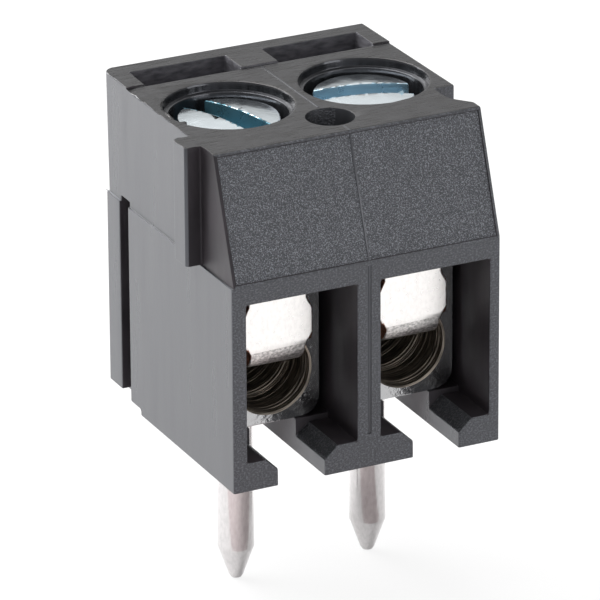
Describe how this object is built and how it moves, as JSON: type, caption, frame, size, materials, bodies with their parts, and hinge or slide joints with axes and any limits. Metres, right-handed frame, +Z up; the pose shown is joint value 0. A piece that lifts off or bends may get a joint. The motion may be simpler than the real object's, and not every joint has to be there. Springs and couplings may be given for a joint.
{
  "type": "pcb screw terminal",
  "caption": "Board-mount screw terminal block: black moulded housing, wire chambers under a slanted hood, plated clamp blocks with wire guards, slotted screws and round solder pins.",
  "frame": {"origin": "midway between the two solder pins, on the plane of the board that the housing stands on", "axes": "+X along the row of poles, +Y away from the wire side, +Z up off the board"},
  "size_m": [0.0073, 0.0071, 0.012],
  "materials": {
    "housing_nylon": "black moulded polyamide, spark-eroded on the hood",
    "clamp_block_plating": "nickel-plated brass, bright",
    "pin_tin": "bright tin over brass",
    "guard_plating": "tin-plated bronze strip",
    "screw_zinc": "blue-white zinc-plated steel"
  },
  "bodies": {
    "terminal_body": {"housing": "housing_nylon", "terminal_block_1": "clamp_block_plating", "solder_pin_1": "pin_tin", "terminal_block_2": "clamp_block_plating", "solder_pin_2": "pin_tin"},
    "guard_1": {"wire_guard_1": "guard_plating"},
    "screw_1": {"clamp_screw_1": "screw_zinc"},
    "guard_2": {"wire_guard_2": "guard_plating"},
    "screw_2": {"clamp_screw_2": "screw_zinc"}
  },
  "joints": [
    {"name": "clamp_1", "type": "slide", "parent": "terminal_body", "child": "guard_1", "axis": [0, 0, 1], "range_m": [-0.001, 0]},
    {"name": "screw_turn_1", "type": "hinge", "parent": "guard_1", "child": "screw_1", "pos_m": [-0.00175, 0.00016, 0.0078], "axis": [0, 0, 1], "range_deg": [-905, 5]},
    {"name": "clamp_2", "type": "slide", "parent": "terminal_body", "child": "guard_2", "axis": [0, 0, 1], "range_m": [-0.001, 0]},
    {"name": "screw_turn_2", "type": "hinge", "parent": "guard_2", "child": "screw_2", "pos_m": [0.00175, 0.00016, 0.0078], "axis": [0, 0, 1], "range_deg": [-905, 5]}
  ],
  "couplings": [
    {"joint": "screw_turn_1", "follows": "clamp_1", "rad_per_m": 15708},
    {"joint": "screw_turn_2", "follows": "clamp_2", "rad_per_m": 15708}
  ]
}
